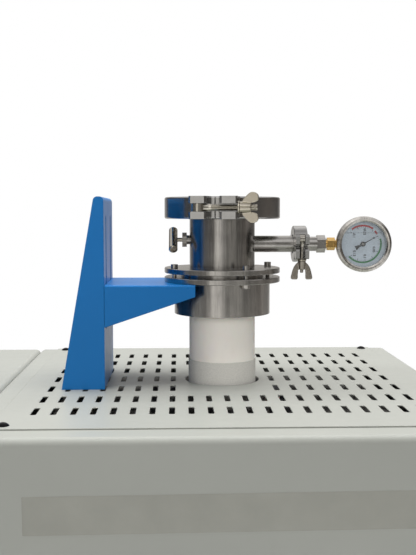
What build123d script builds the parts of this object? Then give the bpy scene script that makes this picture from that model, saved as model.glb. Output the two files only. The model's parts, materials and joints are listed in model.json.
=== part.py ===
from build123d import *
import os
from math import asin, cos, radians, sin, sqrt, tan

# Bench-top tube furnace.  Millimetres, +Z up, +Y to the back, origin on the floor under the
# middle of the cabinet.  A heated chamber stands beside a control section, and a post on the
# perforated cover carries the alumina work tube with its flanged head, clamps and gauge.

# Cabinet
furnace_width = 520.0
control_width = 260.0
cabinet_depth = 520.0
cabinet_height = 640.0
foot_height = 20.0
foot_radius = 20.0
foot_taper = 0.85
foot_inset = 50.0
base_thickness = 2.0
sheet = 1.5
roll_radius = 7.0
panel_gap = 0.5
side_border = 26.0
front_border = 31.0
rear_border = 7.0
lid_skirt = 14.0
vent_slots = 10
vent_slot_length = 90.0
vent_slot_width = 5.0
vent_pitch = 13.0
vent_height = 70.0

# Perforated cover
cover_sheet = 1.5
cover_ledge = 24.0
slot_columns = 21
slot_rows = 7
slot_margin_x = 34.0
slot_margin_y = 71.5
slot_width = 6.0
slot_length = 32.0
plain_columns = 2
plain_rows = 1
tube_hole_radius = 45.0
screw_inset_x = 13.0
screw_inset_y = 13.0
screw_head_radius = 6.5
screw_head_height = 3.3
screw_radius = 3.0
screw_length = 10.0
screw_clearance = 0.3

# Chamber
brick_side_gap = 60.0
brick_fan_gap = 8.5
channel_height = 30.0
channel_width = 40.0
channel_wall = 2.0
channel_spread = 120.0
chamber_radius = 105.0
chamber_floor = 90.0
lid_thickness = 60.0
lid_headroom = 30.0
element_count = 6
element_circle = 86.0
element_spread = 20.0
element_hot_radius = 3.0
element_cold_radius = 4.5
element_cold_length = 90.0
element_depth = 440.0
element_hole_gap = 1.0
holder_width = 18.0
holder_height = 10.0
terminal_rise = 8.0
thermocouple_circle = 62.0
thermocouple_radius = 3.0
thermocouple_length = 260.0
thermocouple_head_radius = 9.0
thermocouple_head_height = 14.0

# Work tube and its head, heights above the cover
tube_radius = 40.0
tube_wall = 5.0
tube_bottom = -430.0
tube_floor = 8.0
sleeve_wall = 1.0
sleeve_top = 26.0
sleeve_bottom = -60.0
collar_radius = 57.9
collar_bottom = 81.7
disc_radius = 70.0
disc_thickness = 6.2
disc_chamfer = 0.6
disc_gap = 4.6
arm_top = 120.0
spigot_radius = 50.0
spigot_depth = 18.5
seal_radius = 2.2
fit_gap = 0.3
head_radius = 39.5
head_wall = 4.0
ferrule_radius = 59.5
ferrule_rim = 2.85
ferrule_slope = 20.0
ferrule_root = 52.0
joint_height = 208.0
cap_thickness = 9.0
gasket_thickness = 1.4
flange_bolts_circle = 63.0
flange_bolt_radius = 2.5
flange_bolt_angles = (-67.0, 23.0, 113.0, 203.0)
flange_bolt_head_radius = 4.2
flange_bolt_head_height = 5.0
flange_nut_flats = 8.0
flange_nut_height = 4.0
flange_bolt_stub = 1.0

# Post and arm
post_face = -138.0
post_foot_width = 49.6
post_top_width = 11.2
post_height = 221.4
post_depth = 126.0
post_wall = 3.0
post_corner = 5.0
post_slot_spread = 32.0
post_slot_bottom = 66.0
post_slot_top = 200.0
post_slot_width = 9.0
arm_gap = 0.2
arm_tip = -33.9
arm_root_height = 48.5
arm_tip_height = 13.5
arm_wall = 3.0
arm_edge = 2.0
arm_notch_gap = 0.6
arm_screw_radius = 4.0
arm_screw_head_radius = 6.5
arm_screw_head_height = 5.0
arm_screw_heights = (92.0, 108.0)
nut_relief = 1.5

# Clamp on the cap of the head
cap_clamp_turn = -9.5
cap_clamp_radius = 69.75
cap_clamp_width = 25.8
cap_clamp_lip = 55.0
cap_clamp_groove = 61.0
cap_clamp_lip_gap = 10.7
cap_clamp_lug_near = 7.8
cap_clamp_lug_root = 3.3
cap_clamp_lug_far = 27.4
cap_clamp_lug_reach = 91.0
cap_clamp_slot = 9.6
cap_clamp_rod_radius = 3.8
cap_clamp_rod_offset = 82.0
cap_clamp_pin_distance = 18.0
cap_clamp_pin_radius = 2.5
cap_clamp_rod_length = 67.0
cap_clamp_nut_radius = 6.8
cap_clamp_nut_length = 12.5
cap_clamp_wing_span = 34.8
cap_clamp_wing_reach = 21.3
cap_clamp_wing_thickness = 3.8
cap_clamp_wing_shape = ((0.37, 0.10), (0.55, 0.18), (0.80, 0.38), (0.98, 0.58), (0.98, 0.76), (0.84, 0.95),
                        (0.68, 0.99), (0.46, 0.95), (0.34, 0.80), (0.30, 0.60))

# Side port with its small clamp
port_height = 165.2
port_radius = 10.0
port_wall = 2.0
port_joint = 93.8
port_rim_radius = 15.0
port_rim = 1.6
port_slope = 15.0
port_ferrule_neck = 4.0
port_ring_thickness = 2.0
port_ring_radius = 13.0
port_clamp_turn = 5.5
port_clamp_radius = 22.0
port_clamp_width = 16.0
port_clamp_lip = 11.5
port_clamp_groove = 15.8
port_clamp_lip_gap = 7.6
port_clamp_lug_near = 2.5
port_clamp_lug_root = 1.5
port_clamp_lug_far = 14.5
port_clamp_lug_reach = 32.5
port_clamp_slot = 6.6
port_clamp_rod_radius = 2.1
port_clamp_rod_offset = 27.0
port_clamp_pin_distance = 9.5
port_clamp_pin_radius = 1.8
port_clamp_rod_length = 40.5
port_clamp_nut_radius = 4.8
port_clamp_nut_length = 10.8
port_clamp_wing_span = 25.8
port_clamp_wing_reach = 23.0
port_clamp_wing_thickness = 3.6
port_clamp_wing_shape = ((0.35, 0.10), (0.65, 0.27), (0.85, 0.53), (0.96, 0.78), (0.97, 0.96), (0.70, 0.99),
                         (0.40, 0.97), (0.36, 0.80), (0.34, 0.60), (0.32, 0.47))

# Quick-clamp details common to both clamps
half_gap = 1.0
lug_round = 2.0
lug_overlap = 0.9
slot_margin = 1.5
running_gap = 0.05
washer_thickness = 1.5
washer_gap = 0.15
washer_margin = 0.6
nut_gap = 0.2
knuckle_gap = 0.3
nut_taper = 0.8

# Gauge and its adapter
adapter_stub_radius = 8.8
adapter_nut_start = 115.0
adapter_nut_length = 10.3
adapter_nut_flats = 18.5
adapter_bore = 4.0
brass_neck_radius = 4.6
brass_neck_length = 2.4
brass_hex_flats = 13.5
brass_hex_length = 9.6
gauge_centre = 170.3
gauge_case_radius = 30.8
gauge_case_front = 14.5
gauge_case_back = 7.0
gauge_case_wall = 1.2
gauge_case_round = 3.0
gauge_bezel_radius = 33.6
gauge_bezel_front = 18.5
gauge_bezel_skirt = 8.0
bezel_shoulder = 3.0
bezel_lip = 1.6
gauge_window_radius = 27.3
gauge_glass_thickness = 2.0
gauge_dial_height = 7.0
gauge_dial_thickness = 1.0
pointer_height = 9.5
pointer_thickness = 0.8
pointer_length = 21.0
pointer_tail = 10.2
pointer_width = 1.6
pointer_tail_width = 5.2
pointer_hub_radius = 3.0
pointer_hub_height = 2.2
pointer_spindle_radius = 1.0
pointer_reading = 61.0
bourdon_circle = 20.0
bourdon_radius = 2.2
bourdon_sweep = 250.0
bourdon_start = 163.0
brass_block_reach = 3.0
brass_block_size = 10.0
brass_bore = 1.5

# Vent valve on the left of the head
valve_height = 170.4
valve_neck_radius = 5.5
valve_neck_end = 43.0
valve_nut_flats = 15.0
valve_nut_length = 5.5
valve_stem_radius = 2.5
valve_bar_distance = 59.4
valve_bar_radius = 5.3
valve_bar_length = 40.0
valve_bar_tilt = 55.0
valve_bar_chamfer = 1.0

# Fan in the back of the furnace section
fan_size = 120.0
fan_depth = 38.0
fan_corner = 5.0
fan_height = 330.0
fan_bore_radius = 57.5
fan_blades = 7
fan_blade_radius = 55.0
fan_blade_thickness = 2.0
fan_blade_width = 24.0
fan_blade_pitch = 35.0
fan_hub_radius = 21.0
fan_hub_length = 24.0
fan_strut_width = 8.0
fan_strut_depth = 5.0
fan_shaft_radius = 3.0
fan_running_gap = 1.5
fan_guard_bars = 4.0

# Control section
controller_size = 96.0
controller_bezel_depth = 6.0
controller_body_size = 90.0
controller_body_depth = 65.0
controller_height = 500.0
controller_bezel_round = 4.0
display_width = 74.0
display_height = 40.0
display_offset = 14.0
display_recess = 1.0
key_count = 4
key_width = 13.0
key_height = 8.0
key_pitch = 19.0
key_offset = -30.0
key_gap = 0.4
key_proud = 1.2
key_depth = 4.0
key_travel = 0.8
switch_width = 26.0
switch_height = 34.0
switch_flange = 2.5
switch_corner = 2.5
switch_depth = 26.0
switch_wall = 3.0
switch_centre_height = 380.0
rocker_radius = 13.0
rocker_gap = 0.4
rocker_proud = 4.0
rocker_pivot_depth = 5.0
rocker_dip = 3.0
rocker_tilt = 9.0
transformer_width = 130.0
transformer_depth = 150.0
transformer_core = 110.0
transformer_limb = 26.0
transformer_coil_gap = 0.4
transformer_coil_round = 10.0
transformer_side_gap = 65.0
power_unit_width = 80.0
power_unit_height = 130.0
power_unit_depth = 60.0
power_unit_fins = 9
power_unit_fin_thickness = 3.0
power_unit_fin_depth = 35.0
power_unit_floor = 330.0
gland_hex = 30.0
gland_flange_length = 5.0
gland_dome_length = 9.0
gland_dome_radius = 12.0
gland_thread_radius = 10.0
gland_thread_length = 12.0
gland_bore_radius = 6.5
gland_locknut_length = 4.0
gland_height = 90.0

# Places worked out from the sizes
total_width = furnace_width + control_width
left_x = -total_width / 2
furnace_left = left_x + control_width
right_x = total_width / 2
front_y = -cabinet_depth / 2
rear_y = cabinet_depth / 2
base_top = foot_height + base_thickness
cover_top = cabinet_height
deck_top = cover_top - cover_sheet
cover_width = furnace_width - 2 * side_border
cover_depth = cabinet_depth - front_border - rear_border
slot_column_pitch = (cover_width - 2 * slot_margin_x) / (slot_columns - 1)
slot_row_pitch = (cover_depth - 2 * slot_margin_y) / (slot_rows - 1)
tube_x = furnace_left + furnace_width / 2
tube_y = front_y + front_border + cover_depth / 2
brick_width = furnace_width - 2 * brick_side_gap
brick_depth = 2 * (rear_y - tube_y - sheet - fan_depth - brick_fan_gap)
control_x = left_x + control_width / 2
disc_top = arm_top + disc_thickness
upper_disc = disc_top + disc_gap
upper_disc_top = upper_disc + disc_thickness
spigot_bottom = disc_top - spigot_depth
seal_shoulder = spigot_bottom - 4 * seal_radius
tube_top = upper_disc - fit_gap
cap_clamp_height = joint_height + gasket_thickness / 2
at_tube = Pos(tube_x, tube_y, cover_top)


# Building blocks

def block(x0, x1, y0, y1, z0, z1):
    """A box between two corners."""
    return Pos((x0 + x1) / 2, (y0 + y1) / 2, (z0 + z1) / 2) * Box(x1 - x0, y1 - y0, z1 - z0)


def rod(radius, z0, z1):
    """A cylinder about Z."""
    return Pos(0, 0, (z0 + z1) / 2) * Cylinder(radius, z1 - z0)


def ring(outer, inner, z0, z1):
    """A plain ring about Z."""
    return rod(outer, z0, z1) - rod(inner, z0, z1)


def turned(*points):
    """A closed outline of radius and height, turned about Z."""
    return revolve(Plane.XZ * make_face(Polyline(*points, close=True)), Axis.Z)


def hexagon(flats, z0, z1):
    """A hexagonal prism about Z, measured across its flats."""
    return Pos(0, 0, z0) * extrude(RegularPolygon(flats / 2, 6, major_radius=False), z1 - z0)


def prism_y(outline, half_depth):
    """An outline in X and Z, made thick about Y = 0."""
    return extrude(Plane.XZ * make_face(Polyline(*outline, close=True)), half_depth, both=True)


def along_x(x, z):
    """Local Z points along +X, from a point on the side axis of the head."""
    return at_tube * Location(Plane((x, 0, z), x_dir=(0, 0, -1), z_dir=(1, 0, 0)))


# Cabinet

def rolled_box(x0, x1, inset):
    """The block inside one cabinet section, its upper and upright edges rolled."""
    bottom = base_top if inset == 0 else foot_height
    body = block(x0 + inset, x1 - inset, front_y + inset, rear_y - inset, bottom, deck_top - inset)
    edges = body.edges().filter_by(Axis.Z) + body.faces().sort_by(Axis.Z)[-1].edges()
    return fillet(edges, roll_radius - inset)


def section_shell(x0, x1):
    """One cabinet section in bent sheet, open underneath."""
    return rolled_box(x0, x1, 0) - rolled_box(x0, x1, sheet)


def region(x0, x1, y0, y1):
    """A full-height slice of the cabinet, to cut one panel out of a shell."""
    return block(x0, x1, y0, y1, 0, cabinet_height)


def vents(x, y, across_y):
    """A ladder of ventilation slots through an upright wall."""
    length = vent_slot_length
    size = (sheet * 4, length) if across_y else (length, sheet * 4)
    slots = []
    for step in range(vent_slots):
        slots.append(Pos(x, y, vent_height + step * vent_pitch) * Box(*size, vent_slot_width))
    return slots


def furnace_panels():
    """Front, back, two sides and the ledge under the cover of the furnace section."""
    shell = section_shell(furnace_left + panel_gap / 2, right_x)
    front_seam = front_y + front_border
    rear_seam = rear_y - rear_border
    deck_x = furnace_width / 2 - side_border
    front = shell & region(left_x, right_x, front_y, front_seam)
    rear = shell & region(left_x, right_x, rear_seam, rear_y)
    sides = []
    for x0, x1 in ((furnace_left, tube_x - deck_x), (tube_x + deck_x, right_x)):
        sides.append(shell & region(x0, x1, front_seam + panel_gap, rear_seam - panel_gap))
    left, right = sides
    ledge = block(tube_x - deck_x + panel_gap, tube_x + deck_x - panel_gap, front_seam + panel_gap,
                  rear_seam - panel_gap, deck_top - sheet, deck_top)
    opening = Pos(tube_x, tube_y, deck_top) * Box(cover_width - 2 * cover_ledge,
                                                  cover_depth - 2 * cover_ledge, sheet * 4)
    ledge = ledge - opening - [spot * rod(screw_radius + screw_clearance, -sheet * 4, sheet)
                               for spot in cover_screw_spots()]
    right = right - vents(right_x, tube_y, True)
    rear = rear - fan_grille()
    return front, rear, left, right, ledge


def fan_grille():
    """Curved slots punched in the back panel in front of the fan."""
    disc = ring(fan_bore_radius - fan_guard_bars, fan_hub_radius, -sheet * 4, sheet * 4)
    band = (fan_bore_radius - fan_hub_radius) / fan_guard_bars
    for step in range(1, int(fan_guard_bars)):
        radius = fan_hub_radius + step * band
        disc -= ring(radius + fan_guard_bars / 2, radius - fan_guard_bars / 2, -sheet * 5, sheet * 5)
    for angle in (0, 90):
        disc -= Rot(0, 0, angle) * Box(2 * fan_bore_radius, fan_guard_bars * 1.5, sheet * 12)
    return Pos(tube_x, rear_y, fan_height) * Rot(90, 0, 0) * disc


def control_panels():
    """Front, back, outer side and lid of the control section."""
    shell = section_shell(left_x, furnace_left - panel_gap / 2)
    lid_seam = deck_top - lid_skirt
    front_seam = front_y + front_border
    rear_seam = rear_y - front_border
    lid = shell & block(left_x, furnace_left, front_y, rear_y, lid_seam, deck_top)
    walls = shell & block(left_x, furnace_left, front_y, rear_y, 0, lid_seam - panel_gap)
    front = walls & region(left_x, furnace_left, front_y, front_seam)
    rear = walls & region(left_x, furnace_left, rear_seam, rear_y)
    side = walls & region(left_x, control_x, front_seam + panel_gap, rear_seam - panel_gap)
    body = controller_body_size + 2 * key_gap
    front -= Pos(control_x, front_y, controller_height) * Box(body, sheet * 6, body)
    front -= Pos(control_x, front_y, switch_centre_height) * Box(
        switch_width - 2 * switch_flange + key_gap, sheet * 6, switch_height - 2 * switch_flange + key_gap)
    rear -= Pos(control_x, rear_y, gland_height) * Rot(90, 0, 0) * Cylinder(
        gland_thread_radius + fit_gap, sheet * 6)
    side -= vents(left_x, 0, True)
    return front, rear, side, lid


def base_plate():
    """The floor of both sections, with two welded channels that carry the fibre block."""
    plate = block(left_x + sheet, right_x - sheet, front_y + sheet, rear_y - sheet,
                  foot_height, base_top)
    plate = fillet(plate.edges().filter_by(Axis.Z), roll_radius - sheet)
    half = brick_width / 2
    wide = channel_width / 2
    top = base_top + channel_height
    for side in (-1, 1):
        bar = block(-half, half, -wide, wide, base_top, top)
        hollow = block(-half - 1, half + 1, -wide + channel_wall, wide - channel_wall,
                       base_top, top - channel_wall)
        plate += Pos(tube_x, tube_y + side * channel_spread, 0) * (bar - hollow)
    return plate


def rubber_feet():
    """Four feet, slightly tapered."""
    feet = []
    for x in (left_x + foot_inset, right_x - foot_inset):
        for y in (front_y + foot_inset, rear_y - foot_inset):
            foot = Cone(foot_radius * foot_taper, foot_radius, foot_height)
            feet.append(Pos(x, y, foot_height / 2) * foot)
    return feet


def cover_screw_spots():
    """Where the four screws hold the perforated cover."""
    x = cover_width / 2 - screw_inset_x
    y = cover_depth / 2 - screw_inset_y
    return [at_tube * Pos(i * x, j * y, 0) for i in (-1, 1) for j in (-1, 1)]


def top_cover():
    """The perforated sheet over the chamber, plain round the tube hole."""
    slots = []
    middle_column = slot_columns // 2
    middle_row = slot_rows // 2
    for column in range(slot_columns):
        for row in range(slot_rows):
            i = column - middle_column
            j = row - middle_row
            if abs(i) <= plain_columns and abs(j) <= plain_rows:
                continue
            slots.append(Pos(i * slot_column_pitch, j * slot_row_pitch) * Rectangle(slot_width, slot_length))
    sheet_face = Rectangle(cover_width, cover_depth) - slots - Circle(tube_hole_radius)
    holes = [Pos(i * (cover_width / 2 - screw_inset_x), j * (cover_depth / 2 - screw_inset_y))
             * Circle(screw_radius + screw_clearance) for i in (-1, 1) for j in (-1, 1)]
    return at_tube * Pos(0, 0, -cover_sheet) * extrude(sheet_face - holes, cover_sheet)


def cover_screws():
    """Four round-head screws."""
    crown = screw_head_height
    ball = (screw_head_radius ** 2 + crown ** 2) / (2 * crown)
    half_angle = asin(screw_head_radius / ball) / 2
    head_curve = ThreePointArc((screw_head_radius, 0),
                               (ball * sin(half_angle), crown - ball + ball * cos(half_angle)), (0, crown))
    outline = head_curve + Polyline((0, crown), (0, -screw_length), (screw_radius, -screw_length),
                                    (screw_radius, 0), (screw_head_radius, 0))
    screw = revolve(Plane.XZ * make_face(outline), Axis.Z)
    return [spot * screw for spot in cover_screw_spots()]


# Chamber

def element_places():
    """The middle of each heating element on its circle, its legs along local Y."""
    return [Rot(0, 0, (step + 0.5) * 360 / element_count) * Pos(element_circle, 0, 0)
            for step in range(element_count)]


def insulation_body():
    """The fibre block with the round heated chamber."""
    top = -lid_headroom - lid_thickness - cover_sheet
    bottom = base_top + channel_height - cover_top
    half_x, half_y = brick_width / 2, brick_depth / 2
    block_body = block(-half_x, half_x, -half_y, half_y, bottom, top)
    return at_tube * (block_body - rod(chamber_radius, bottom + chamber_floor, top + 1))


def insulation_lid():
    """The fibre lid with its tube hole and the holes of elements and thermocouple."""
    top = -lid_headroom - cover_sheet
    half_x, half_y = brick_width / 2, brick_depth / 2
    lid = block(-half_x, half_x, -half_y, half_y, top - lid_thickness, top)
    lid -= rod(tube_hole_radius, top - lid_thickness - 1, top + 1)
    hole = rod(element_cold_radius + element_hole_gap, top - lid_thickness - 1, top + 1)
    for place in element_places():
        for side in (-1, 1):
            lid -= place * Pos(0, side * element_spread, 0) * hole
    probe = rod(thermocouple_radius + fit_gap, top - lid_thickness - 1, top + 1)
    return at_tube * (lid - Pos(thermocouple_circle, 0, 0) * probe)


def heating_elements():
    """Hairpin elements hanging through the lid, each in its ceramic holder."""
    lid_top = -lid_headroom - cover_sheet
    terminal_top = lid_top + holder_height + terminal_rise
    bend_z = -element_depth + element_spread
    cold_end = lid_top - element_cold_length
    bend = Torus(element_spread, element_hot_radius)
    bend = Pos(0, 0, bend_z) * Rot(0, 90, 0) * bend
    bend &= Pos(0, 0, bend_z - element_spread) * Box(
        4 * element_spread, 4 * element_spread, 2 * element_spread)
    hairpin = bend
    holder = block(-holder_width / 2, holder_width / 2, -element_spread - holder_width / 2,
                   element_spread + holder_width / 2, lid_top, lid_top + holder_height)
    for side in (-1, 1):
        leg = rod(element_hot_radius, bend_z, cold_end) + rod(element_cold_radius, cold_end, terminal_top)
        hairpin += Pos(0, side * element_spread, 0) * leg
        holder -= Pos(0, side * element_spread, 0) * rod(element_cold_radius + running_gap, -90, 0)
    solids = []
    for place in element_places():
        solids.append(at_tube * place * hairpin)
        solids.append(at_tube * place * holder)
    return solids


def thermocouple():
    """Ceramic sheath with its connection head above the lid."""
    lid_top = -lid_headroom - cover_sheet
    sheath = rod(thermocouple_radius, lid_top - thermocouple_length, lid_top + 1)
    head = rod(thermocouple_head_radius, lid_top, lid_top + thermocouple_head_height)
    return at_tube * Pos(thermocouple_circle, 0, 0) * (sheath + head)


# Post and arm

def post():
    """The folded box post, narrower to the top, with two height slots in its upright face."""
    outer = prism_y([(post_face - post_foot_width, 0), (post_face, 0), (post_face, post_height),
                     (post_face - post_top_width, post_height)], post_depth / 2)
    top_edges = outer.edges().filter_by(Axis.Y).sort_by(Axis.Z)[-2:]
    outer = fillet(top_edges, post_corner)
    foot = outer.faces().sort_by(Axis.Z)[0]
    body = offset(outer, amount=-post_wall, openings=foot)
    height = post_slot_top - post_slot_bottom
    for side in (-1, 1):
        slot = Location(Plane((post_face, side * post_slot_spread, post_slot_bottom + height / 2),
                              x_dir=(0, 0, 1), z_dir=(1, 0, 0)))
        body -= slot * extrude(SlotOverall(height, post_slot_width), post_wall + 1, both=True)
    return at_tube * body


def arm():
    """The welded fork that carries the head: back, top and two tapering cheeks."""
    root = post_face + arm_gap
    half = post_depth / 2
    outline = [(root, arm_top - arm_root_height), (root, arm_top), (arm_tip, arm_top),
               (arm_tip, arm_top - arm_tip_height)]
    body = prism_y(outline, half)
    long_edges = body.edges().filter_by(Axis.X).sort_by(Axis.Z)[-2:]
    body = fillet(long_edges, arm_edge)
    body -= block(root + arm_wall, 0, -half + arm_wall, half - arm_wall, 0, arm_top - arm_wall)
    body -= rod(collar_radius + arm_notch_gap, 0, arm_top + 1)
    bolt_relief = flange_nut_flats / 2 + nut_relief
    for angle in flange_bolt_angles:
        body -= Rot(0, 0, angle) * Pos(flange_bolts_circle, 0, 0) * rod(
            bolt_relief, arm_top - arm_wall - 1, arm_top + 1)
    for screw_place in arm_screw_places():
        body -= screw_place * Cylinder(arm_screw_radius + running_gap, 6 * arm_wall)
    return at_tube * body


def arm_screw_places():
    """Screw axes through the post's slots, local Z towards the tube."""
    return [Pos(post_face, side * post_slot_spread, height) * Rot(0, 90, 0)
            for side in (-1, 1) for height in arm_screw_heights]


def arm_screws():
    """Screws with their heads inside the post."""
    shank_end = arm_gap + arm_wall
    head_seat = -post_wall - arm_gap
    screw = rod(arm_screw_radius, head_seat, shank_end)
    screw += rod(arm_screw_head_radius, head_seat - arm_screw_head_height, head_seat)
    return [at_tube * place * screw for place in arm_screw_places()]


# Work tube and head

def work_tube():
    """The alumina tube, open at the top and domed at the bottom."""
    inner = tube_radius - tube_wall
    dome = sqrt(0.5)
    lowest = tube_bottom + tube_radius
    outside = ThreePointArc((tube_radius, lowest), (tube_radius * dome, lowest - tube_radius * dome),
                            (0, tube_bottom))
    inside_centre = tube_bottom + tube_floor + inner
    inside = ThreePointArc((0, tube_bottom + tube_floor), (inner * dome, inside_centre - inner * dome),
                           (inner, inside_centre))
    outline = outside + Line((0, tube_bottom), (0, tube_bottom + tube_floor)) + inside
    outline += Polyline((inner, inside_centre), (inner, tube_top), (tube_radius, tube_top),
                        (tube_radius, lowest))
    return at_tube * revolve(Plane.XZ * make_face(outline), Axis.Z)


def tube_sleeve():
    """A thin fibre sleeve where the tube enters the chamber."""
    return at_tube * ring(tube_radius + sleeve_wall, tube_radius, sleeve_bottom, sleeve_top)


def flange_bolt_places():
    """Axes of the four bolts that draw the two discs together."""
    return [Rot(0, 0, angle) * Pos(flange_bolts_circle, 0, 0) for angle in flange_bolt_angles]


def lower_flange():
    """Collar and disc, with the counterbore that holds the seals."""
    bore = tube_radius + fit_gap
    counterbore = spigot_radius + fit_gap
    body = turned((bore, collar_bottom), (collar_radius, collar_bottom), (collar_radius, arm_top),
                  (disc_radius, arm_top), (disc_radius, disc_top), (counterbore, disc_top),
                  (counterbore, seal_shoulder), (bore, seal_shoulder))
    hole = rod(flange_bolt_radius + fit_gap, arm_top - 1, disc_top + 1)
    body = body - [place * hole for place in flange_bolt_places()]
    rim = body.edges().filter_by(GeomType.CIRCLE).filter_by(lambda e: e.radius > disc_radius - 1)
    return at_tube * chamfer(rim, disc_chamfer)


def vacuum_seals():
    """Rings round the tube, the gasket under the cap and the ring of the side port."""
    seals = []
    room = tube_radius + fit_gap / 2
    for step in range(2):
        z = seal_shoulder + seal_radius * (2 * step + 1)
        seals.append(at_tube * ring(room + 2 * seal_radius, room, z - seal_radius, z + seal_radius))
    seals.append(at_tube * ring(ferrule_radius - 1, head_radius - head_wall, joint_height,
                                joint_height + gasket_thickness))
    seals.append(along_x(port_joint, port_height) * ring(
        port_ring_radius, port_radius - port_wall, -port_ring_thickness / 2, port_ring_thickness / 2))
    return seals


def ferrule_profile(root_z, face_z):
    """Clamping rim of the head: root and face heights, with its slope between."""
    direction = 1 if face_z > root_z else -1
    rim_z = face_z - direction * ferrule_rim
    slope_drop = (ferrule_radius - ferrule_root) * tan(radians(ferrule_slope))
    return [(ferrule_root, root_z), (ferrule_root, rim_z - direction * slope_drop),
            (ferrule_radius, rim_z), (ferrule_radius, face_z)]


def port_flange(direction):
    """The small clamping rim of the side port, its face at the port joint."""
    face = -direction * port_ring_thickness / 2
    back = face - direction * port_rim
    slope = (port_rim_radius - port_radius) * tan(radians(port_slope)) * direction
    neck = back - slope - direction * port_ferrule_neck
    inner = port_radius - port_wall
    return turned((inner, face), (port_rim_radius, face), (port_rim_radius, back),
                  (port_radius, back - slope), (port_radius, neck), (inner, neck))


def upper_flange():
    """Disc with its spigot, the head cylinder, the clamping rim, the side port and valve neck."""
    inner = head_radius - head_wall
    spigot_bore = tube_radius + fit_gap
    rim = ferrule_profile(joint_height - cap_thickness, joint_height)
    body = turned((spigot_bore, spigot_bottom), (spigot_radius, spigot_bottom),
                  (spigot_radius, upper_disc), (disc_radius, upper_disc), (disc_radius, upper_disc_top),
                  (head_radius, upper_disc_top), (head_radius, joint_height - cap_thickness), *rim,
                  (inner, joint_height), (inner, upper_disc), (spigot_bore, upper_disc))
    hole = rod(flange_bolt_radius + fit_gap, upper_disc - 1, upper_disc_top + 1)
    body = body - [place * hole for place in flange_bolt_places()]
    rims = body.edges().filter_by(GeomType.CIRCLE).filter_by(lambda e: e.radius > disc_radius - 1)
    body = chamfer(rims, disc_chamfer)
    pipe_end = port_joint - port_ring_thickness / 2 - port_rim
    sideways = Location(Plane((0, 0, port_height), x_dir=(0, 0, -1), z_dir=(1, 0, 0)))
    body += sideways * rod(port_radius, inner + 1, pipe_end)
    body += sideways * Pos(0, 0, port_joint) * port_flange(1)
    body -= sideways * rod(port_radius - port_wall, 0, port_joint + 1)
    neck = Location(Plane((0, 0, valve_height), x_dir=(0, 0, 1), z_dir=(-1, 0, 0)))
    body += neck * rod(valve_neck_radius, inner + 1, valve_neck_end)
    body -= neck * rod(valve_stem_radius, 0, valve_neck_end + 1)
    return at_tube * body


def end_cap():
    """The blind cap, clamped on the head."""
    face = joint_height + gasket_thickness
    rim = ferrule_profile(face + cap_thickness, face)
    return at_tube * turned((0, face + cap_thickness), *rim, (0, face))


def flange_bolts():
    """Four cap-head bolts with their nuts."""
    head = rod(flange_bolt_head_radius, 0, flange_bolt_head_height)
    head -= hexagon(flange_bolt_radius * 1.6, flange_bolt_head_height / 2, flange_bolt_head_height + 1)
    nut_bottom = arm_top - flange_nut_height
    bolt = Pos(0, 0, upper_disc_top) * head
    bolt += rod(flange_bolt_radius, nut_bottom - flange_bolt_stub, upper_disc_top)
    nut = hexagon(flange_nut_flats, nut_bottom, arm_top) - rod(flange_bolt_radius, 0, arm_top + 1)
    solids = []
    for place in flange_bolt_places():
        solids.append(at_tube * place * bolt)
        solids.append(at_tube * place * nut)
    return solids


# Quick clamps.  Local Z is the axis of the clamped joint, and the swing bolt lies on the -Y
# side along local X, with its pin towards -X and its wing nut towards +X.

def clamp_ring(radius, width, lip, groove, lip_gap, slope):
    """The grooved ring before it is cut in halves."""
    half = width / 2
    lip_half = lip_gap / 2
    groove_half = lip_half - (groove - lip) * tan(radians(slope))
    body = turned((lip, -half), (radius, -half), (radius, half), (lip, half), (lip, lip_half),
                  (groove, groove_half), (groove, -groove_half), (lip, -lip_half))
    rims = body.edges().filter_by(GeomType.CIRCLE).filter_by(lambda e: e.radius > radius - 1)
    return fillet(rims, width / 12)


def clamp_lug(side, near, near_root, far, reach, ring_radius, width):
    """One ear of the clamp on the bolt side, wider at its root."""
    root = -ring_radius * lug_overlap
    outline = Polyline((side * near, -reach), (side * far, -reach), (side * far, root),
                       (side * near_root, root), close=True)
    ear = extrude(make_face(outline), width / 2, both=True)
    outer = ear.edges().filter_by(Axis.Z).group_by(Axis.Y)[0]
    return chamfer(outer, lug_round)


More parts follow.
